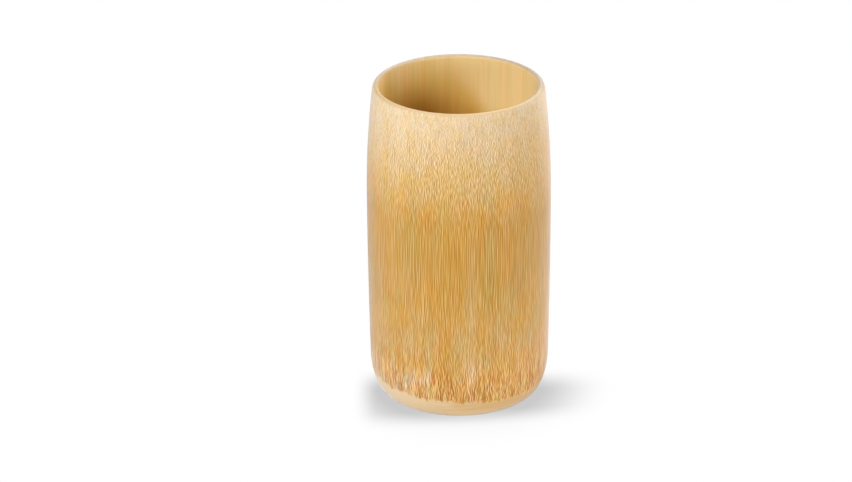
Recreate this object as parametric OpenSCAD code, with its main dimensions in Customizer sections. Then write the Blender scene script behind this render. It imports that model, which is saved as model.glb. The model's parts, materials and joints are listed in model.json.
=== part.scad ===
// Bamboo cup, turned from one length of bamboo culm.
// The tube between the nodes is the wall, the node below it is the foot, and the
// diaphragm that closes the culm at the node is the floor.
// The cup stands on Z = 0 with its axis on Z. Every section is drawn in the X-Y plane,
// as radius and height, and turned about the axis.

/* [Body] */
// Height of the cup
cup_height = 125; // [100:1:150]
// Diameter at the widest place
belly_d = 70; // [50:0.5:90]
// Height of the widest place
belly_z = 81; // [50:1:95]
// Thickness of the wall at the widest place, down to the straight bore
wall_t = 5; // [4:0.1:7]

/* [Lip] */
// How far the wall has drawn in from the widest place where the lip begins to round
mouth_inset = 2.4; // [0.5:0.1:3]
// Depth of the outer rounding of the lip
lip_outer_drop = 2; // [0.5:0.1:4]
// Depth of the inner rounding of the lip
lip_inner_drop = 1.2; // [0.3:0.1:4]

/* [Foot] */
// Height where the foot begins to turn under
shoulder_z = 15; // [10:0.5:30]
// How far the wall has drawn in from the widest place at that height
shoulder_inset = 0.8; // [0.2:0.1:3]
// How far the edge of the standing face lies in from the widest place
base_inset = 7.6; // [5:0.1:9]
// Width of the standing face, with its bevel
standing_w = 5.7; // [4.5:0.1:8]
// Bevel on the inner edge of the standing face
opening_bevel = 0.8; // [0.2:0.1:2]

/* [Node] */
// Height of the line round the outside where the streaks of the wall end
growth_line_z = 8; // [6.5:0.1:9.5]
// Fall of that line from the outside to the inside of the wall
growth_line_fall = 3; // [0.5:0.1:3.5]

/* [Floor] */
// Radius of the corner between the bore and the floor
corner_r = 4; // [2:0.1:5]
// Height of the floor's underside at its edge
septum_z = 2.6; // [2:0.1:3]
// Thickness of the floor at its edge
septum_t = 5; // [4:0.1:7]
// Depth of the dish in the floor's upper side
septum_dish = 0.9; // [0:0.1:1.5]
// Depth of the hollow in the floor's underside
septum_hollow = 0.6; // [0:0.1:1.2]

/* [Hidden] */

// Shares of the sizes that they follow
lip_crest_share = 0.65;
foot_fullness_share = 0.55;

belly_r = belly_d / 2;
mouth_r = belly_r - mouth_inset;
shoulder_r = belly_r - shoulder_inset;
base_r = belly_r - base_inset;
opening_r = base_r - standing_w;
bore_r = belly_r - wall_t;
septum_r = bore_r - corner_r;
crest_r = mouth_r - lip_crest_share * (mouth_r - bore_r);
lip_z = cup_height - lip_outer_drop;
floor_z = septum_z + septum_t;

// Radii of the two shallow arcs of the barrel, which meet upright at the widest place
upper_arc_r = barrel_arc(lip_z - belly_z, mouth_inset);
lower_arc_r = barrel_arc(belly_z - shoulder_z, shoulder_inset);

// How far a cut runs past the face that it goes through
overrun = cup_height;

// Steps along the curves of a section, and round the axis
lip_steps = 8;
corner_steps = 12;
barrel_steps = 16;
foot_steps = 24;
floor_steps = 16;
turn_steps = 180;

// Radius of an arc that starts upright and moves in by offset over a height of rise
function barrel_arc(rise, offset) = (rise * rise + offset * offset) / (2 * offset);

// Points of a quarter ellipse about a centre, from one angle to another
function ellipse_points(centre, semi, from, to, steps) = [
    for (i = [0 : steps])
        let (a = from + (to - from) * i / steps)
            [centre[0] + semi[0] * cos(a), centre[1] + semi[1] * sin(a)]
];

// Point at share t of a cubic curve through four control points
function cubic_point(p, t) =
    pow(1 - t, 3) * p[0] + 3 * t * pow(1 - t, 2) * p[1] + 3 * t * t * (1 - t) * p[2] + pow(t, 3) * p[3];

// Points of a side of the floor, a parabola that sinks by depth from the edge to the axis
function floor_points(edge_z, depth) = [
    for (i = [0 : floor_steps])
        let (share = i / floor_steps)
            [septum_r * share, edge_z - depth * (1 - share * share)]
];

// The shoulder's slope carries on into the foot, and the foot ends level with the table
shoulder_slope = (belly_z - shoulder_z) / (lower_arc_r - shoulder_inset);
foot_controls = [
    [shoulder_r, shoulder_z],
    [shoulder_r - shoulder_slope * foot_fullness_share * shoulder_z, shoulder_z * (1 - foot_fullness_share)],
    [base_r + foot_fullness_share * (shoulder_r - base_r), 0],
    [base_r, 0]
];

lip_curve = ellipse_points([crest_r, lip_z], [mouth_r - crest_r, lip_outer_drop], 90, 0, lip_steps);
upper_curve = [
    for (i = [1 : barrel_steps])
        let (a = asin((lip_z - belly_z) / upper_arc_r) * (1 - i / barrel_steps))
            [belly_r - upper_arc_r * (1 - cos(a)), belly_z + upper_arc_r * sin(a)]
];
lower_curve = [
    for (i = [1 : barrel_steps])
        let (a = asin((belly_z - shoulder_z) / lower_arc_r) * i / barrel_steps)
            [belly_r - lower_arc_r * (1 - cos(a)), belly_z - lower_arc_r * sin(a)]
];
foot_curve = [for (i = [1 : foot_steps]) cubic_point(foot_controls, i / foot_steps)];

// Radius of the outside at the growth line
growth_line_r = lookup(growth_line_z, [for (p = foot_curve) [p[1], p[0]]]);

// The cup as turned, before it is hollowed
module turned_section() {
    polygon(concat([[0, cup_height]], lip_curve, upper_curve, lower_curve, foot_curve, [[0, 0]]));
}

// The space that holds the drink: the round of the lip, the straight bore and the corner
// that runs into the floor
module drink_section() {
    lip_round = ellipse_points(
        [crest_r, cup_height - lip_inner_drop], [crest_r - bore_r, lip_inner_drop], 90, 180, lip_steps);
    corner = ellipse_points([septum_r, floor_z + corner_r], [corner_r, corner_r], 0, -90, corner_steps);
    polygon(concat([[0, cup_height + overrun], [crest_r, cup_height + overrun]], lip_round, corner, [[0, floor_z]]));
}

// Everything below the growth line, which falls from the outside to the inside
module node_zone() {
    slope = growth_line_fall / (growth_line_r - septum_r);
    polygon([
        [0, -overrun],
        [growth_line_r + overrun, -overrun],
        [growth_line_r + overrun, growth_line_z + slope * overrun],
        [0, growth_line_z - slope * growth_line_r]
    ]);
}

// The seat of the floor, on a ledge over the opening of the foot
module seat_section() {
    polygon([
        [0, -overrun],
        [opening_r + opening_bevel + overrun, -overrun],
        [opening_r + opening_bevel, 0],
        [opening_r, opening_bevel],
        [opening_r, septum_z],
        [septum_r, septum_z],
        [septum_r, floor_z],
        [0, floor_z]
    ]);
}

// The tube between the nodes
module culm_wall() {
    color("#d9a860")
        rotate_extrude($fn = turn_steps)
            difference() {
                turned_section();
                drink_section();
                node_zone();
                seat_section();
            }
}

// The node, which turns under to the standing face and carries the floor
module node_ring() {
    color("#e3c28d")
        rotate_extrude($fn = turn_steps)
            difference() {
                intersection() {
                    turned_section();
                    node_zone();
                }
                drink_section();
                seat_section();
            }
}

// The diaphragm of the node, the floor of the cup
module septum() {
    underside = floor_points(septum_z, -septum_hollow);
    upper_side = floor_points(floor_z, septum_dish);
    color("#c99b58")
        rotate_extrude($fn = turn_steps)
            polygon(concat(underside, [for (i = [floor_steps : -1 : 0]) upper_side[i]]));
}

culm_wall();
node_ring();
septum();
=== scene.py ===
import json
import math

import bpy
import numpy as np
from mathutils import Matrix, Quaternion, Vector


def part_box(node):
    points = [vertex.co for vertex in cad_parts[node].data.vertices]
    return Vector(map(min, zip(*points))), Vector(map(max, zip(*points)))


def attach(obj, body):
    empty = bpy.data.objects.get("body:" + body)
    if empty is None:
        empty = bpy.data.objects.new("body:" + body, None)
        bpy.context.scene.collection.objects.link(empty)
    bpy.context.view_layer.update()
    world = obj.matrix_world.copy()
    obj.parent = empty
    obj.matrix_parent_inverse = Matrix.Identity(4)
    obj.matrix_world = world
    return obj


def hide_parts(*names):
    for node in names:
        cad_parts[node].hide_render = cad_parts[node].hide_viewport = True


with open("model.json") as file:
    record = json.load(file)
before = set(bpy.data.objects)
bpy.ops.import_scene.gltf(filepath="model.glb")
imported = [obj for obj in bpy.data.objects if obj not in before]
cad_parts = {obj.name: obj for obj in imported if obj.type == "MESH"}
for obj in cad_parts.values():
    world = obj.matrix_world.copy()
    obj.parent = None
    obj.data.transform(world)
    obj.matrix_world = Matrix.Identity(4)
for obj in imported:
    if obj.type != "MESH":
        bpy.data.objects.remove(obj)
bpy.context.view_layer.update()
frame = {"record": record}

# Sizes of the cup, in metres. The boxes and the bore come from the frame.
MM = 0.001
WALL_LOW, WALL_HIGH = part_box("culm_wall")
FLOOR_LOW, FLOOR_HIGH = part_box("septum")
MOUTH = next(mount for mount in frame["record"]["mounts"] if mount["name"] == "mouth")
CUP_HEIGHT = WALL_HIGH[2]
BELLY_R = WALL_HIGH[0]
BELLY_Z = 81 * MM
BORE_R = MOUTH["dims"]["r_mm"] * MM
SEPTUM_R = FLOOR_HIGH[0]
SEPTUM_Z = FLOOR_LOW[2]
FLOOR_Z = FLOOR_HIGH[2]
MOUTH_INSET = 2.4 * MM
LIP_OUTER_DROP = 2.0 * MM
LIP_INNER_DROP = 1.2 * MM
LIP_CREST_SHARE = 0.65
SHOULDER_Z = 15 * MM
SHOULDER_INSET = 0.8 * MM
BASE_INSET = 7.6 * MM
FOOT_FULLNESS = 0.55
STANDING_W = 5.7 * MM
OPENING_BEVEL = 0.8 * MM
GROWTH_LINE_Z = 8 * MM
GROWTH_LINE_FALL = 3 * MM
SEPTUM_DISH = 0.9 * MM
SEPTUM_HOLLOW = 0.6 * MM
HOLLOW_FADE = 25 * MM
HOLLOW_SHIFT = 0.35 * MM
HOLLOW_OVAL = 0.12 * MM
HOLLOW_THREE_SIDED = HOLLOW_OVAL / 2
# Turns round the axis of the hollow's shift, oval and three sides
SHIFT_TURN = math.radians(230)
OVAL_TURN = math.radians(40)
THREE_SIDED_TURN = math.radians(100)

MOUTH_R = BELLY_R - MOUTH_INSET
SHOULDER_R = BELLY_R - SHOULDER_INSET
BASE_R = BELLY_R - BASE_INSET
OPENING_R = BASE_R - STANDING_W
CREST_R = MOUTH_R - LIP_CREST_SHARE * (MOUTH_R - BORE_R)
CORNER_R = BORE_R - SEPTUM_R

# Steps round the axis of every turned piece, and the edge above which its shading is sharp
TURN_STEPS = 512
SHARP_EDGE = math.radians(30)


def lip_outside(steps):
    """Quarter ellipse from the crest of the lip to the outside of the mouth. Like every run of an outline, it
    is given as columns of radius and height."""
    a = np.linspace(np.pi / 2, 0, steps)
    r = CREST_R + (MOUTH_R - CREST_R) * np.cos(a)
    z = CUP_HEIGHT - LIP_OUTER_DROP + LIP_OUTER_DROP * np.sin(a)
    return np.stack([r, z], axis=1)


def lip_inside(steps):
    """Quarter ellipse from the top of the bore to the crest of the lip."""
    a = np.linspace(np.pi, np.pi / 2, steps)
    r = CREST_R + (CREST_R - BORE_R) * np.cos(a)
    z = CUP_HEIGHT - LIP_INNER_DROP + LIP_INNER_DROP * np.sin(a)
    return np.stack([r, z], axis=1)


def barrel(end_z, inset, steps):
    """Arc that is upright at the widest place and has drawn in by inset at end_z. Its radius is
    (rise squared + inset squared) / (2 inset)."""
    rise = end_z - BELLY_Z
    arc_r = (rise ** 2 + inset ** 2) / (2 * inset)
    a = np.linspace(0, np.arcsin(rise / arc_r), steps)
    return np.stack([BELLY_R - arc_r * (1 - np.cos(a)), BELLY_Z + arc_r * np.sin(a)], axis=1)


def foot(steps):
    """Cubic curve from the shoulder, along the barrel's slope there, to the standing face, level with it."""
    rise = BELLY_Z - SHOULDER_Z
    arc_r = (rise ** 2 + SHOULDER_INSET ** 2) / (2 * SHOULDER_INSET)
    slope = rise / (arc_r - SHOULDER_INSET)
    p = np.array([
        [SHOULDER_R, SHOULDER_Z],
        [SHOULDER_R - slope * FOOT_FULLNESS * SHOULDER_Z, SHOULDER_Z * (1 - FOOT_FULLNESS)],
        [BASE_R + FOOT_FULLNESS * (SHOULDER_R - BASE_R), 0],
        [BASE_R, 0],
    ])
    t = np.linspace(0, 1, steps)[:, None]
    return (1 - t) ** 3 * p[0] + 3 * t * (1 - t) ** 2 * p[1] + 3 * t ** 2 * (1 - t) * p[2] + t ** 3 * p[3]


def corner(steps):
    """Quarter circle from the edge of the floor up into the bore."""
    a = np.linspace(-np.pi / 2, 0, steps)
    return np.stack([SEPTUM_R + CORNER_R * np.cos(a), FLOOR_Z + CORNER_R + CORNER_R * np.sin(a)], axis=1)


def straight(start, end, steps):
    """Evenly spaced points from start to end."""
    return np.linspace(start, end, steps)


def joined(*runs):
    """The runs one after the other, without the first point of each, which repeats the one before."""
    return np.concatenate([runs[0]] + [run[1:] for run in runs[1:]])


def growth_line():
    """Where the growth line meets the outside, and where it meets the floor's edge."""
    curve = foot(400)
    outer_r = np.interp(GROWTH_LINE_Z, curve[::-1, 1], curve[::-1, 0])
    return np.array([outer_r, GROWTH_LINE_Z]), np.array([SEPTUM_R, GROWTH_LINE_Z - GROWTH_LINE_FALL])


def wall_section():
    """Outline of the wall: down the outside, in along the growth line, up the floor's edge, the corner and
    the bore, and over the lip. It closes on its first point."""
    line_out, line_in = growth_line()
    turned_under = foot(60)
    turned_under = turned_under[turned_under[:, 1] > line_out[1]]
    return joined(
        lip_outside(14),
        barrel(CUP_HEIGHT - LIP_OUTER_DROP, MOUTH_INSET, 40)[::-1],
        barrel(SHOULDER_Z, SHOULDER_INSET, 50),
        np.concatenate([turned_under, [line_out]]),
        straight(line_out, line_in, 6),
        straight(line_in, [SEPTUM_R, FLOOR_Z], 4),
        corner(12),
        straight([BORE_R, FLOOR_Z + CORNER_R], [BORE_R, CUP_HEIGHT - LIP_INNER_DROP], 30),
        lip_inside(8),
    )[:-1]


def node_section():
    """Outline of the node: down the foot, across the standing face, up its bevel and the opening, out along
    the floor's seat, and back along the growth line."""
    line_out, line_in = growth_line()
    turned_under = foot(60)
    turned_under = turned_under[turned_under[:, 1] < line_out[1]]
    return joined(
        np.concatenate([[line_out], turned_under]),
        straight([BASE_R, 0], [OPENING_R + OPENING_BEVEL, 0], 10),
        straight([OPENING_R + OPENING_BEVEL, 0], [OPENING_R, OPENING_BEVEL], 4),
        straight([OPENING_R, OPENING_BEVEL], [OPENING_R, SEPTUM_Z], 4),
        straight([OPENING_R, SEPTUM_Z], [SEPTUM_R, SEPTUM_Z], 6),
        straight([SEPTUM_R, SEPTUM_Z], line_in, 4),
        straight(line_in, line_out, 6),
    )[:-1]


def grown_hollow(r, z, angle):
    """How far the bore departs from a true circle. The outside is turned, but the hollow is the plant's own,
    so it lies a little to the front left and is out of round. The radius changes by the sum of a shift, an
    oval and three sides, which are cosines of once, twice and three times the angle. It does so in full on
    the bore's wall, and not at all from the crest of the lip outwards and at the floor, which is cut to fit."""
    across = np.clip((CREST_R - r) / (CREST_R - BORE_R), 0, 1)
    up = np.clip((z - FLOOR_Z - CORNER_R) / HOLLOW_FADE, 0, 1)
    off_centre = HOLLOW_SHIFT * np.cos(angle - SHIFT_TURN)
    oval = HOLLOW_OVAL * np.cos(2 * angle - OVAL_TURN)
    three_sided = HOLLOW_THREE_SIDED * np.cos(3 * angle - THREE_SIDED_TURN)
    return across * up * up * (3 - 2 * up) * (off_centre + oval + three_sided)


def ring_mesh(name, section):
    """Turns a closed outline about the axis: a grid of outline points by angles, closed both ways."""
    angle = np.linspace(0, 2 * np.pi, TURN_STEPS, endpoint=False)
    z = np.broadcast_to(section[:, 1][:, None], (len(section), TURN_STEPS))
    r = section[:, 0][:, None] + grown_hollow(section[:, 0][:, None], z, angle)
    points = np.stack([r * np.cos(angle), r * np.sin(angle), z], axis=2)
    rows, columns = points.shape[:2]
    i, j = np.meshgrid(np.arange(rows), np.arange(columns), indexing="ij")
    down, on = (i + 1) % rows, (j + 1) % columns
    quads = np.stack([i * columns + j, down * columns + j, down * columns + on, i * columns + on], axis=2)
    mesh = bpy.data.meshes.new(name)
    mesh.from_pydata(points.reshape(-1, 3).tolist(), [], quads.reshape(-1, 4).tolist())
    return mesh


def disc_mesh(name, upper, lower):
    """Turns the upper and lower sides of a disc, each a run from the axis to the edge, and closes both
    poles with a fan."""
    angle = np.linspace(0, 2 * np.pi, TURN_STEPS, endpoint=False)
    section = np.concatenate([upper[1:], lower[:0:-1]])
    r = section[:, 0][:, None]
    z = np.broadcast_to(section[:, 1][:, None], (len(section), TURN_STEPS))
    ring_points = np.stack([r * np.cos(angle), r * np.sin(angle), z], axis=2).reshape(-1, 3)
    rows, columns = len(section), TURN_STEPS
    i, j = np.meshgrid(np.arange(rows - 1), np.arange(columns), indexing="ij")
    on = (j + 1) % columns
    down = i + 1
    quads = np.stack([i * columns + j, down * columns + j, down * columns + on, i * columns + on], axis=2)
    top, bottom = rows * columns, rows * columns + 1
    k = np.arange(columns)
    next_k = (k + 1) % columns
    last = (rows - 1) * columns
    top_fan = np.stack([np.full(columns, top), k, next_k], axis=1)
    bottom_fan = np.stack([np.full(columns, bottom), last + next_k, last + k], axis=1)
    poles = [[0, 0, upper[0, 1]], [0, 0, lower[0, 1]]]
    mesh = bpy.data.meshes.new(name)
    faces = quads.reshape(-1, 4).tolist() + top_fan.tolist() + bottom_fan.tolist()
    mesh.from_pydata(ring_points.tolist() + poles, [], faces)
    return mesh


def floor_side(edge_z, depth, steps):
    """Parabola from the axis to the floor's edge, which lies depth lower at the axis than at the edge."""
    share = np.linspace(0, 1, steps)
    return np.stack([SEPTUM_R * share, edge_z - depth * (1 - share ** 2)], axis=1)


def piece(mesh, node, material):
    """Puts a mesh in the scene as the piece that stands for a CAD node."""
    mesh.validate()
    mesh.polygons.foreach_set("use_smooth", np.ones(len(mesh.polygons), dtype=bool))
    mesh.set_sharp_from_angle(angle=SHARP_EDGE)
    mesh.materials.append(material)
    obj = bpy.data.objects.new(mesh.name, mesh)
    bpy.context.scene.collection.objects.link(obj)
    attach(obj, "root")
    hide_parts(node)
    return obj


class Finish:
    """A material whose node tree is built one value at a time. Every place in it is in millimetres."""

    def __init__(self, name):
        self.material = bpy.data.materials.new(name)
        self.material.use_nodes = True
        self.tree = self.material.node_tree
        self.shader = self.tree.nodes["Principled BSDF"]

    def add(self, kind, **settings):
        """Adds a node and gives it its settings."""
        node = self.tree.nodes.new(kind)
        for key, value in settings.items():
            setattr(node, key, value)
        return node

    def feed(self, socket, value):
        """Links an output to a socket, or sets the socket to a constant."""
        if isinstance(value, bpy.types.NodeSocket):
            self.tree.links.new(value, socket)
        else:
            socket.default_value = value

    def calc(self, operation, *values, clamp=False):
        """One step of arithmetic."""
        node = self.add("ShaderNodeMath", operation=operation, use_clamp=clamp)
        for socket, value in zip(node.inputs, values):
            self.feed(socket, value)
        return node.outputs[0]

    def place(self):
        """X, Y and Z of the shaded point."""
        source = self.add("ShaderNodeTexCoord").outputs["Object"]
        scaled = self.add("ShaderNodeVectorMath", operation="SCALE")
        self.feed(scaled.inputs[0], source)
        self.feed(scaled.inputs["Scale"], 1 / MM)
        parts = self.add("ShaderNodeSeparateXYZ")
        self.feed(parts.inputs[0], scaled.outputs[0])
        return parts.outputs[0], parts.outputs[1], parts.outputs[2]

    def point(self, x, y, z):
        """A vector from three values."""
        node = self.add("ShaderNodeCombineXYZ")
        for socket, value in zip(node.inputs, (x, y, z)):
            self.feed(socket, value)
        return node.outputs[0]

    def noise(self, point, size, detail=0.0, roughness=0.5):
        """Smooth noise between -1 and 1 with features of about size millimetres."""
        node = self.add("ShaderNodeTexNoise", noise_dimensions="3D")
        self.feed(node.inputs["Vector"], point)
        self.feed(node.inputs["Scale"], 1 / size)
        self.feed(node.inputs["Detail"], detail)
        self.feed(node.inputs["Roughness"], roughness)
        return self.calc("MULTIPLY_ADD", node.outputs[0], 2.0, -1.0)

    def chances(self, point, size):
        """Two chance values between -1 and 1 for each of many scattered cells about size millimetres wide."""
        node = self.add("ShaderNodeTexVoronoi", voronoi_dimensions="3D", feature="F1")
        self.feed(node.inputs["Vector"], point)
        self.feed(node.inputs["Scale"], 1 / size)
        chance = self.add("ShaderNodeSeparateColor")
        self.feed(chance.inputs[0], node.outputs["Color"])
        return tuple(self.calc("MULTIPLY_ADD", chance.outputs[i], 2.0, -1.0) for i in (0, 1))

    def step(self, value, low, high, first=0.0, last=1.0, kind="SMOOTHSTEP"):
        """Smooth step of value from first at low to last at high, or a straight one where kind is LINEAR."""
        node = self.add("ShaderNodeMapRange", interpolation_type=kind)
        amounts = {"Value": value, "From Min": low, "From Max": high, "To Min": first, "To Max": last}
        for name, amount in amounts.items():
            self.feed(node.inputs[name], amount)
        return node.outputs[0]

    def mix(self, share, first, second):
        """Colour that goes from first to second as share goes from 0 to 1."""
        node = self.add("ShaderNodeMix", data_type="RGBA")
        self.feed(node.inputs["Factor"], share)
        self.feed(node.inputs[6], first)
        self.feed(node.inputs[7], second)
        return node.outputs[2]

    def tinted(self, colour, tint):
        """Colour multiplied by a tint."""
        node = self.add("ShaderNodeMix", data_type="RGBA", blend_type="MULTIPLY")
        node.inputs["Factor"].default_value = 1.0
        self.feed(node.inputs[6], colour)
        self.feed(node.inputs[7], tint)
        return node.outputs[2]

    def ramp(self, share, stops):
        """Colour from a ramp of (share, colour) stops."""
        node = self.add("ShaderNodeValToRGB")
        elements = node.color_ramp.elements
        while len(elements) < len(stops):
            elements.new(0.5)
        for element, (position, colour) in zip(elements, stops):
            element.position = position
            element.color = colour
        self.feed(node.inputs[0], share)
        return node.outputs[0]

    def total(self, *terms):
        """Sum of terms, each a value or a pair of a value and its weight."""
        result = 0.0
        for term in terms:
            value, weight = term if isinstance(term, tuple) else (term, 1.0)
            result = self.calc("MULTIPLY_ADD", value, weight, result)
        return result

    def about_half(self, value, swing):
        """Share that a value moves up and down from one half, between 0 and 1."""
        return self.calc("MULTIPLY_ADD", value, swing, 0.5, clamp=True)

    def bump(self, height, depth):
        """Relief of the surface, depth metres deep where height goes from 0 to 1."""
        node = self.add("ShaderNodeBump")
        self.feed(node.inputs["Height"], height)
        node.inputs["Strength"].default_value = 1.0
        node.inputs["Distance"].default_value = depth
        self.feed(self.shader.inputs["Normal"], node.outputs[0])


def paint(code):
    """Colour for a socket from its screen code, such as d9a860."""
    values = np.array([int(code[i:i + 2], 16) for i in (0, 2, 4)]) / 255
    light = np.where(values <= 0.04045, values / 12.92, ((values + 0.055) / 1.055) ** 2.4)
    return (*light.tolist(), 1.0)


# Colours of the ground tissue, from the culm's golden outer zone to its pale inner zone
GROUND = (
    (0.0, paint("bb924a")),
    (0.2, paint("c69d59")),
    (0.45, paint("cdab74")),
    (0.7, paint("d1b690")),
    (1.0, paint("d7c3a7")),
)
# Colours of the lip, from the front to the back: the cut tissue's own tone, darker and greyer towards the back
# as painted shade
LIP_AND_SHADE = (
    (0.0, paint("cbae83")),
    (0.25, paint("b89c70")),
    (0.45, paint("ab977a")),
    (1.0, paint("98918a")),
)
# Darkest and lightest strands, in the golden zone and in the pale zone, and the reddish ones near the foot
DARK_GOLDEN = paint("965f00")
DARK_PALE = paint("b49570")
DARK_REDDISH = paint("b0622a")
LIGHT_GOLDEN = paint("dbba7e")
LIGHT_PALE = paint("f6e6d0")
# Tints that the culm leans to from place to place
GOLDEN_TINT = paint("fff6cb")
CREAM_TINT = paint("f9ffff")
WARM_TINT = paint("fff3f8")
OLIVE_TINT = paint("f3f8f8")
# Tint of the surface where it is seen edge on
SHEEN_TINT = paint("dce8ff")
# Colours of the node, of its painted light at the lower edge, and of its painted shade at the right and where
# it stands
NODE_PALE = paint("dec49b")
NODE_GOLDEN = paint("cda66c")
NODE_PAINTED_LIGHT = paint("e2c594")
NODE_PAINTED_SHADE = paint("8c7450")
# Colours of the inner skin, from pale to brown. Its brown end is partly bands of tone and partly painted shade,
# on the bore's left side and further down. The floor has the last two.
INNER_GOLDEN = paint("d1ad60")
INNER_BROWN = paint("c4923a")
INNER = (
    (0.0, paint("e1c78b")),
    (0.45, INNER_GOLDEN),
    (1.0, INNER_BROWN),
)

# Zones of the culm, each from the height where it starts to the height where it is full, in millimetres
NEAR_LIP = (104.0, 124.0)
NEAR_FOOT = (34.0, 12.0)
BELOW_LIP = (123.5, 118.0)
DASHES_ABOVE = (82.0, 98.0)
DASHES_BELOW = (64.0, 50.0)
HARD_STRANDS = (26.0, 12.0)
PALE_ABOVE = (80.0, 124.0)
PALE_BELOW = (60.0, 30.0)
PALE_FOOT = (24.0, 14.0)
LEFT_PALE_FOOT = (24.0, 12.0)
# Painted light at the left and painted shade at the right, above the middle
PAINTED_SIDE_LIGHT_ABOVE = (88.0, 108.0)
FLAMES_ABOVE = (78.0, 92.0)
EVEN_ABOVE = (86.0, 108.0)
LIP_EDGE = (123.4, 124.8)
LIP_CREST = (124.0, 124.9)
# The node's painted light at its lower edge, and its painted contact shade along the standing face
NODE_PAINTED_LIGHT_LOW = (5.5, 0.5)
NODE_CONTACT_SHADE = (0.6, 0.0)
# The bore's painted shade: how it spreads to the right further down, and how it deepens downwards
BORE_SHADE_SPREAD = (118.0, 98.0)
BORE_SHADE_DEPTH = (124.0, 100.0)
# The same for radii: the ring of painted contact shade at the edge of the standing face, and the lip's inner
# round
CONTACT_SHADE_RING = (25.0, 27.0)
LIP_INNER = (31.6, 31.3)
# And for the way from left to right: the painted shade on the node's right side, and the bore's painted shade,
# which lies on its left side
NODE_RIGHT_SHADE = (12.0, 27.0)
BORE_SHADED_SIDE = (9.0, -4.0)
# And for the lip's painted shade, from the front of the lip to its back
LIP_SHADE_AWAY = (-25.0, 35.0)

# Heights between which strands run long, in millimetres, and how fast they shorten above and below
LONG_LOW = 62.0
LONG_HIGH = 72.0
SHORTEN_ABOVE = 0.0027
SHORTEN_BELOW = 0.00105
# Height where strands end above the node, how it falls from the left to the right, and how soft it is
STRANDS_END = 8.0
STRANDS_END_FALL = 0.04
STRANDS_END_SOFT = 0.5
# Radius that strands are spread out to, so that they follow the turned outside
STRAND_R = 34.0
# Turn from a strand to its dark side, in radians
STRAND_STEP = 0.38 / STRAND_R
# Sizes of the patterns, in millimetres
FINE_SIZE = 0.32
SINGLE_SIZE = 0.4
BOLD_SIZE = 0.75
CLUSTER_SIZE = 1.1
NARROW_BAND = 1.3
WIDE_BAND = 4.5
WANDER_SIZE = 13.0
WANDER = 0.15
SWAY_SIZE = 11.0
# Surface: satin, a little paler where it is seen edge on, and strands 0.01 mm deep
SATIN = 0.5
GLOSS = 0.15
SHEEN = 0.45
LIP_SHEEN = 0.15
SHEEN_ROUGHNESS = 0.4
RELIEF = 0.01 * MM


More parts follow.
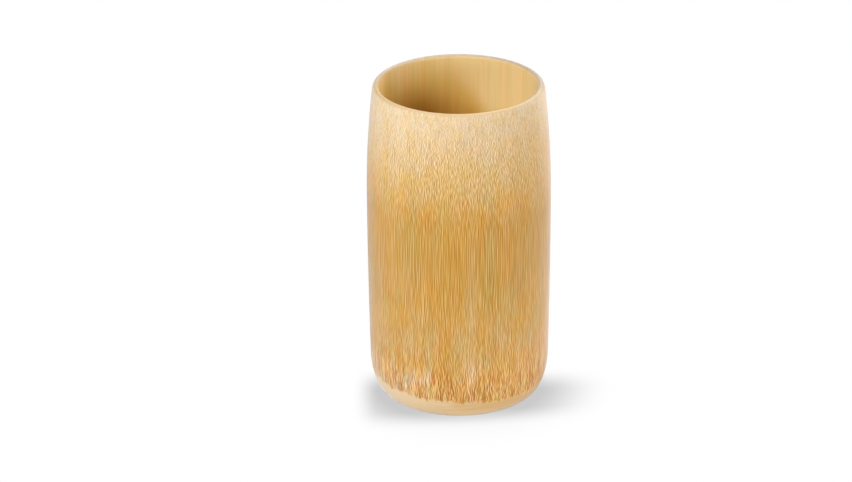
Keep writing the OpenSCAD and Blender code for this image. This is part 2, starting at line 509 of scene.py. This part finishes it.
class Culm(Finish):
    """Turned culm. Bamboo is ground tissue with upright strands in it. Every value follows the place inside
    the culm, so two pieces with this finish meet at their growth line without a step."""

    def __init__(self, name):
        super().__init__(name)
        self.x, self.y, self.z = self.place()
        y_squared = self.calc("MULTIPLY", self.y, self.y)
        self.r = self.calc("SQRT", self.calc("MULTIPLY_ADD", self.x, self.x, y_squared))
        self.near_lip = self.step(self.z, *NEAR_LIP)
        self.near_foot = self.step(self.z, *NEAR_FOOT)
        self.sx, self.sy, self.along = self.strand_place()

    def strand_place(self):
        """Place of a point among the strands: two values across them and one along them. They run upright
        with a slight wander. The value along them hardly moves in the long zone, so strands are long there.
        Above and below it moves with the square of the distance, because turning cuts across them and leaves
        short dashes. Below the lip strands follow the outside, and on the lip they are cut across."""
        spread = self.calc("SUBTRACT", self.calc("DIVIDE", STRAND_R, self.r), 1.0)
        scale = self.calc("MULTIPLY_ADD", spread, self.step(self.z, *BELOW_LIP), 1.0)
        slow = self.calc("MULTIPLY", self.z, 0.3)
        wander_x = self.noise(self.point(self.x, self.y, slow), WANDER_SIZE)
        wander_y = self.noise(self.point(self.y, self.x, slow), WANDER_SIZE)
        sx = self.calc("MULTIPLY_ADD", wander_x, WANDER, self.calc("MULTIPLY", self.x, scale))
        sy = self.calc("MULTIPLY_ADD", wander_y, WANDER, self.calc("MULTIPLY", self.y, scale))
        over = self.calc("MAXIMUM", self.calc("SUBTRACT", self.z, LONG_HIGH), 0.0)
        under = self.calc("MAXIMUM", self.calc("SUBTRACT", LONG_LOW, self.z), 0.0)
        along = self.total(
            (self.calc("POWER", over, 2.0), SHORTEN_ABOVE), (self.calc("POWER", under, 2.0), -SHORTEN_BELOW),
            (self.z, 0.03), (self.r, 0.1))
        return sx, sy, along

    def strands(self):
        """How much darker, below 0, or lighter, above 0, a point is than the ground. Fine lines are noise
        less the same noise one strand step round the axis, so a light line has a dark one beside it. Single
        strands, clusters and a few bold strands add to them, mostly towards the lip and the foot."""
        at = self.point(self.sx, self.sy, self.along)
        beside_at = self.point(
            self.calc("MULTIPLY_ADD", self.sy, -STRAND_STEP, self.sx),
            self.calc("MULTIPLY_ADD", self.sx, STRAND_STEP, self.sy), self.along)
        self.fine = self.noise(at, FINE_SIZE)
        beside = self.noise(beside_at, FINE_SIZE)
        single, _ = self.chances(at, SINGLE_SIZE)
        self.bold, self.bold_kind = self.chances(at, BOLD_SIZE)
        bold_share = self.total(self.near_foot, (self.near_lip, 0.8))
        cluster_share = self.total(
            (self.near_lip, 0.6), (self.near_foot, 0.35), (self.step(self.z, *DASHES_BELOW), 0.3), 0.1)
        signal = self.total(
            self.calc("MULTIPLY", self.noise(at, CLUSTER_SIZE), cluster_share), (self.fine, 1.35),
            (beside, -0.75), (single, 0.12), (self.calc("MULTIPLY", self.bold, bold_share), 0.2))
        strength = self.total(
            (self.step(self.z, *DASHES_ABOVE), 0.25), (self.near_lip, -0.5), (self.near_foot, 0.35),
            (self.step(self.z, *HARD_STRANDS), 0.5), 0.8)
        return self.calc("MULTIPLY", signal, strength)

    def streaked(self, signal):
        """Ground tissue with its strands. The ground is golden in the middle and paler towards the lip and
        the foot, most of all at the left near the foot, with flames where one gives way to the other. Above the
        middle it is also painted paler at the left and darker at the right, which is painted light and shade. A
        few of the bold strands near the foot are reddish."""
        flames_at = self.point(self.sx, self.sy, self.calc("MULTIPLY", self.along, 0.5))
        flames_share = self.total((self.near_foot, 0.3), (self.step(self.z, *FLAMES_ABOVE), 0.05), 0.16)
        paleness = self.total(
            self.step(self.z, *PALE_ABOVE, 0.0, 0.95, "LINEAR"),
            self.step(self.z, *PALE_BELOW, 0.0, 0.22, "LINEAR"),
            self.step(self.z, *PALE_FOOT, 0.0, 0.1),
            (self.calc("MULTIPLY", self.step(self.z, *LEFT_PALE_FOOT), self.x), -0.007),
            # Painted light and shade: paler at the left and darker at the right above the middle
            (self.calc("MULTIPLY", self.step(self.z, *PAINTED_SIDE_LIGHT_ABOVE), self.x), -0.003),
            (self.noise(flames_at, WIDE_BAND, 1.0), flames_share), (signal, 0.06), 0.02)
        darker = self.calc("MULTIPLY", signal, -0.75, clamp=True)
        lighter = self.calc("MULTIPLY", signal, 0.8, clamp=True)
        reddish = self.calc("MULTIPLY", self.step(self.bold_kind, 0.4, 0.8), self.near_foot)
        dark = self.mix(reddish, self.mix(paleness, DARK_GOLDEN, DARK_PALE), DARK_REDDISH)
        light = self.mix(paleness, LIGHT_GOLDEN, LIGHT_PALE)
        return self.mix(lighter, self.mix(darker, self.ramp(paleness, GROUND), dark), light)

    def banded(self, colour):
        """Colour with narrow and wide upright bands in it, some golden and some cream, some olive and some
        warm. They break up where strands do, and are stronger near the foot and fainter above."""
        quick = self.calc("MULTIPLY", self.along, 4.0)
        bands = self.point(self.sx, self.sy, quick)
        other_bands = self.point(self.sy, self.sx, quick)
        swing = self.total((self.near_foot, 0.75), (self.step(self.z, *EVEN_ABOVE), -0.55), 1.0)
        cream = self.total(
            (self.noise(bands, NARROW_BAND), 0.5), (self.noise(bands, WIDE_BAND), 0.95),
            (self.near_foot, -0.3), (self.calc("MULTIPLY", self.near_foot, self.x), -0.006))
        warm = self.total(
            (self.noise(other_bands, NARROW_BAND), 0.4), (self.noise(other_bands, WIDE_BAND), 0.55),
            (self.near_foot, 0.25), (self.near_lip, 0.15))
        colour = self.tinted(colour, self.mix(self.about_half(cream, swing), GOLDEN_TINT, CREAM_TINT))
        return self.tinted(colour, self.mix(self.about_half(warm, swing), OLIVE_TINT, WARM_TINT))

    def node(self):
        """The node: close tissue with faint level lines and clouds. It is painted more golden and darker to the
        right as shade, painted lighter at its lower edge as light from the table, and painted darker along the
        edge where it stands as contact shade."""
        slow_x = self.calc("MULTIPLY", self.x, 0.05)
        slow_y = self.calc("MULTIPLY", self.y, 0.05)
        level = self.noise(self.point(slow_x, slow_y, self.z), 0.5, 1.0)
        cloud = self.noise(self.point(self.x, self.y, self.z), 5.0, 2.0)
        # Painted shade: the x term here and the mix below make the node's right side more golden and darker
        golden = self.total((level, 0.55), (cloud, 0.25), (self.x, 0.03), 0.55)
        colour = self.mix(golden, NODE_PALE, NODE_GOLDEN)
        # Painted light: the lower edge is made paler, standing in for light thrown up from the white table
        colour = self.mix(self.step(self.z, *NODE_PAINTED_LIGHT_LOW), colour, NODE_PAINTED_LIGHT)
        colour = self.mix(self.step(self.x, *NODE_RIGHT_SHADE, 0.0, 0.18), colour, NODE_PAINTED_SHADE)
        # Painted contact shade: a darker ring along the outer edge of the standing face, where it meets the
        # table
        low = self.step(self.z, *NODE_CONTACT_SHADE, 0.0, 0.4)
        contact_shade = self.calc("MULTIPLY", low, self.step(self.r, *CONTACT_SHADE_RING))
        return self.mix(contact_shade, colour, NODE_PAINTED_SHADE)

    def outside(self):
        """Colour and relief of the outside: streaked down to the ragged line where the strands end, and the
        smooth node under it."""
        signal = self.strands()
        sway = self.noise(self.point(self.x, self.y, 0.0), SWAY_SIZE)
        ends = self.total(self.z, (self.bold, 0.5), (self.fine, 1.6), (self.x, STRANDS_END_FALL), (sway, 0.8))
        below = self.step(ends, STRANDS_END, STRANDS_END - STRANDS_END_SOFT)
        relief = self.calc("MULTIPLY", signal, self.calc("SUBTRACT", 1.0, below))
        return self.mix(below, self.banded(self.streaked(signal)), self.node()), relief

    def lip(self, colour):
        """Colour with the lip on it, where the tissue is cut across. It gets darker and greyer towards the back
        and the right, which is painted shade, and keeps faint rings from the lathe."""
        rings = self.noise(self.point(self.r, self.calc("MULTIPLY", self.z, 2.0), 0.0), 0.4, 1.0)
        sideways = self.calc("ABSOLUTE", self.x)
        depth = self.total((rings, 0.15), (sideways, 0.004), 0.58)
        share = self.calc("MULTIPLY", self.step(self.z, *LIP_CREST), depth)
        # Painted shade: the lip's colour turns darker and greyer towards the back and the right
        away = self.total(self.y, (sideways, 0.35), (self.x, 0.35))
        return self.mix(share, colour, self.ramp(self.step(away, *LIP_SHADE_AWAY, kind="LINEAR"), LIP_AND_SHADE))

    def in_bore(self):
        """1 in the bore, and 0 from the crest of the lip outwards. Over the lip's inner round it is a smooth
        step of how far in and how far down a point lies."""
        drop = self.calc("MAXIMUM", self.calc("SUBTRACT", 124.6, self.z), 0.0)
        rounded = self.total((self.r, -1.2), drop, 37.1)
        return self.calc("MULTIPLY", self.step(rounded, 0.2, 2.4), self.step(self.r, *LIP_INNER))

    def inner_skin(self):
        """The plant's own inner skin, smooth and faintly banded upright. It is browner to the left and further
        down, which is painted shade in the bore."""
        slow = self.calc("MULTIPLY", self.z, 0.04)
        wide = self.noise(self.point(self.x, self.y, slow), 7.0, 1.0)
        slower = self.calc("MULTIPLY", self.z, 0.03)
        narrow = self.noise(self.point(self.x, self.y, slower), NARROW_BAND, 1.0)
        warm = self.noise(self.point(self.y, self.x, slow), 5.0, 1.0)
        # Painted shade: the skin is browner on the bore's left side, reaching further right and deeper further
        # down
        deep = self.step(self.z, *BORE_SHADE_SPREAD)
        side = self.step(self.total(self.x, (deep, -7.0), (wide, 4.0), (narrow, 1.6)), *BORE_SHADED_SIDE)
        depth = self.step(self.z, *BORE_SHADE_DEPTH, 0.1, 0.95, "LINEAR")
        brown = self.total(self.calc("MULTIPLY", side, depth), (narrow, 0.2), (wide, 0.35))
        tint = self.mix(self.about_half(warm, 0.8), OLIVE_TINT, WARM_TINT)
        return self.tinted(self.ramp(brown, INNER), tint)

    def finished(self, colour, relief, sheen):
        """The material, with its colour, relief and sheen."""
        self.feed(self.shader.inputs["Base Color"], colour)
        self.shader.inputs["Roughness"].default_value = SATIN
        self.shader.inputs["Specular IOR Level"].default_value = GLOSS
        self.feed(self.shader.inputs["Sheen Weight"], sheen)
        self.shader.inputs["Sheen Tint"].default_value = SHEEN_TINT
        self.shader.inputs["Sheen Roughness"].default_value = SHEEN_ROUGHNESS
        self.bump(relief, RELIEF)
        return self.material


def wall_finish():
    """The wall: culm outside, a cut lip, and the inner skin in the bore."""
    culm = Culm("turned_culm")
    outside, relief = culm.outside()
    inside = culm.in_bore()
    not_inside = culm.calc("SUBTRACT", 1.0, inside)
    sheen = culm.step(culm.z, *LIP_EDGE, SHEEN, LIP_SHEEN)
    return culm.finished(
        culm.mix(inside, culm.lip(outside), culm.inner_skin()),
        culm.calc("MULTIPLY", relief, not_inside),
        culm.calc("MULTIPLY", sheen, not_inside))


def node_finish():
    """The node, with the ends of the wall's strands along its upper edge."""
    culm = Culm("turned_node")
    colour, relief = culm.outside()
    return culm.finished(colour, relief, SHEEN)


def floor_finish():
    """The diaphragm: pale brown with clouded rings."""
    finish = Finish("diaphragm")
    x, y, z = finish.place()
    cloud = finish.noise(finish.point(x, y, z), 4.0, 3.0)
    brown = finish.total((cloud, 0.25), 0.4)
    finish.feed(finish.shader.inputs["Base Color"], finish.mix(brown, INNER_GOLDEN, INNER_BROWN))
    finish.shader.inputs["Roughness"].default_value = SATIN
    return finish.material


piece(ring_mesh("cup_wall", wall_section()), "culm_wall", wall_finish())
piece(ring_mesh("cup_foot", node_section()), "node_ring", node_finish())
piece(
    disc_mesh("cup_floor", floor_side(FLOOR_Z, SEPTUM_DISH, 24), floor_side(SEPTUM_Z, -SEPTUM_HOLLOW, 24)),
    "septum", floor_finish())

# The picture is 852 by 482 pixels, and a lens is given for a sensor that is as wide as the picture
PICTURE_W = 852
PICTURE_H = 482
SENSOR_MM = 36
# The camera's distance in metres, its elevation and roll, and its scale at the cup's middle
CAMERA_DISTANCE = 1.6
CAMERA_ELEVATION = math.radians(23.4)
CAMERA_ROLL = math.radians(-0.17)
PIXELS_PER_MM = 2.618
# The cup's middle, and where it lies in the picture
TARGET = Vector((0, 0, CUP_HEIGHT / 2))
TARGET_PIXEL = (459.0, 236.15)


def place_camera():
    """Camera in front of the cup, at the photograph's height and distance. The shift puts the cup's middle
    on its own pixel."""
    camera = bpy.data.cameras.new("camera")
    camera.sensor_width = SENSOR_MM
    camera.lens = PIXELS_PER_MM / MM * CAMERA_DISTANCE * SENSOR_MM / PICTURE_W
    camera.shift_x = (PICTURE_W / 2 - TARGET_PIXEL[0]) / PICTURE_W
    camera.shift_y = (TARGET_PIXEL[1] - PICTURE_H / 2) / PICTURE_W
    obj = bpy.data.objects.new("camera", camera)
    away = Vector((0, -math.cos(CAMERA_ELEVATION), math.sin(CAMERA_ELEVATION)))
    obj.location = TARGET + away * CAMERA_DISTANCE
    rolled = away.to_track_quat("Z", "Y") @ Quaternion((0, 0, 1), CAMERA_ROLL)
    obj.rotation_euler = rolled.to_euler()
    bpy.context.scene.collection.objects.link(obj)
    bpy.context.scene.camera = obj


# Lamps: name, azimuth and elevation in degrees, and power in watts. Azimuth 0 is the camera's side, and it
# grows to the right. All have the same size and distance, in metres.
LAMP_SIZE = 0.45
LAMP_DISTANCE = 1.2
LAMPS = (
    ("front", -30, 30, 7.2),
    ("left", -60, 45, 9.3),
    ("front_right", 60, 15, 5.2),
    ("right", 88, 25, 4.1),
    ("back", 150, 40, 13.2),
)


def softbox(name, azimuth, elevation, power):
    """Square area light that faces the cup's middle."""
    light = bpy.data.lights.new(name, "AREA")
    light.shape = "SQUARE"
    light.size = LAMP_SIZE
    light.energy = power
    obj = bpy.data.objects.new(name, light)
    a, e = math.radians(azimuth), math.radians(elevation)
    away = Vector((math.sin(a) * math.cos(e), -math.cos(a) * math.cos(e), math.sin(e)))
    obj.location = TARGET + away * LAMP_DISTANCE
    obj.rotation_euler = away.to_track_quat("Z", "Y").to_euler()
    bpy.context.scene.collection.objects.link(obj)


def seen_directly(tree):
    """1 for a camera, mirror or glass ray, 0 for one that lights the cup."""
    path = tree.nodes.new("ShaderNodeLightPath")
    seen = path.outputs["Is Camera Ray"]
    for ray in ("Is Glossy Ray", "Is Transmission Ray"):
        either = tree.nodes.new("ShaderNodeMath")
        either.operation = "MAXIMUM"
        tree.links.new(seen, either.inputs[0])
        tree.links.new(path.outputs[ray], either.inputs[1])
        seen = either.outputs[0]
    return seen


def surround():
    """A plain sky that is white to the camera and gives no light of its own, which the lamps do."""
    world = bpy.data.worlds.new("studio")
    bpy.context.scene.world = world
    world.use_nodes = True
    tree = world.node_tree
    background = tree.nodes["Background"]
    tree.links.new(seen_directly(tree), background.inputs["Strength"])
    background.inputs["Color"].default_value = (1, 1, 1, 1)


# The table: half its width in metres, its white, and a hair's gap under the standing face
TABLE_HALF = 3.0
TABLE_WHITE = (0.8, 0.8, 0.8, 1)
TABLE_Z = -0.01 * MM
# The soft shade round the foot: its reach and depth, and the way that its light leans
SHADE_REACH = 32 * MM
SHADE_DEPTH = 0.38
SHADE_LEAN = (-0.45, -0.3, 0.84)
# Where the shade ends behind the cup, before it and at its left, from none to full, in millimetres
SHADE_BEHIND = (16.0, -6.0)
SHADE_BEFORE = (-40.0, -22.0)
SHADE_LEFT = (-42.0, -31.0)
# The thin line where the cup touches the table: its reach and depth
CONTACT_REACH = 5 * MM
CONTACT_DEPTH = 0.03
UPRIGHT = (0.0, 0.0, 1.0)


def hidden_share(finish, reach, lean, nearest):
    """How much of the room the cup hides from a point of the table within reach, from 0 to 1. It is 1 where
    the open share is down to nearest. The lean is the way that the room's light comes from."""
    room = finish.add("ShaderNodeAmbientOcclusion", samples=32)
    room.inputs["Distance"].default_value = reach
    room.inputs["Normal"].default_value = lean
    return finish.step(room.outputs["AO"], 0.98, nearest)


def lay_table():
    """White table top. To the camera it is paper white with a painted shade where the cup hides the room from
    it.
    The painted shade is faded by position before and behind the cup and at its left, so it is wide beside the
    cup and short in front of it and behind it, with a thin line where the cup touches the table. As a light it
    is a plain white table."""
    finish = Finish("table_white")
    finish.tree.nodes.remove(finish.shader)
    output = finish.tree.nodes["Material Output"]
    x, y, _ = finish.place()
    # Painted shade: faded out by position behind and before the cup and beyond its left side
    behind = finish.step(y, *SHADE_BEHIND)
    before = finish.step(finish.total(y, (x, -0.1)), *SHADE_BEFORE, 0.14, 1.0)
    left = finish.step(x, *SHADE_LEFT)
    wide = finish.calc("MULTIPLY", hidden_share(finish, SHADE_REACH, SHADE_LEAN, 0.55), SHADE_DEPTH)
    for fade in (left, behind, before):
        wide = finish.calc("MULTIPLY", wide, fade)
    contact = hidden_share(finish, CONTACT_REACH, UPRIGHT, 0.5)
    shade = finish.total(wide, (contact, CONTACT_DEPTH))
    paper = finish.add("ShaderNodeEmission")
    finish.feed(paper.inputs["Strength"], finish.calc("SUBTRACT", 1.0, shade))
    diffuse = finish.add("ShaderNodeBsdfDiffuse")
    diffuse.inputs["Color"].default_value = TABLE_WHITE
    either = finish.add("ShaderNodeMixShader")
    sources = (seen_directly(finish.tree), diffuse.outputs[0], paper.outputs[0])
    for socket, source in zip(either.inputs, sources):
        finish.feed(socket, source)
    finish.feed(output.inputs["Surface"], either.outputs[0])
    mesh = bpy.data.meshes.new("table")
    corners = [(-1, -1), (1, -1), (1, 1), (-1, 1)]
    points = [(across * TABLE_HALF, back * TABLE_HALF, TABLE_Z) for across, back in corners]
    mesh.from_pydata(points, [], [(0, 1, 2, 3)])
    mesh.materials.append(finish.material)
    obj = bpy.data.objects.new("table", mesh)
    bpy.context.scene.collection.objects.link(obj)


place_camera()
surround()
lay_table()
for lamp in LAMPS:
    softbox(*lamp)
bpy.context.scene.view_settings.view_transform = "Standard"
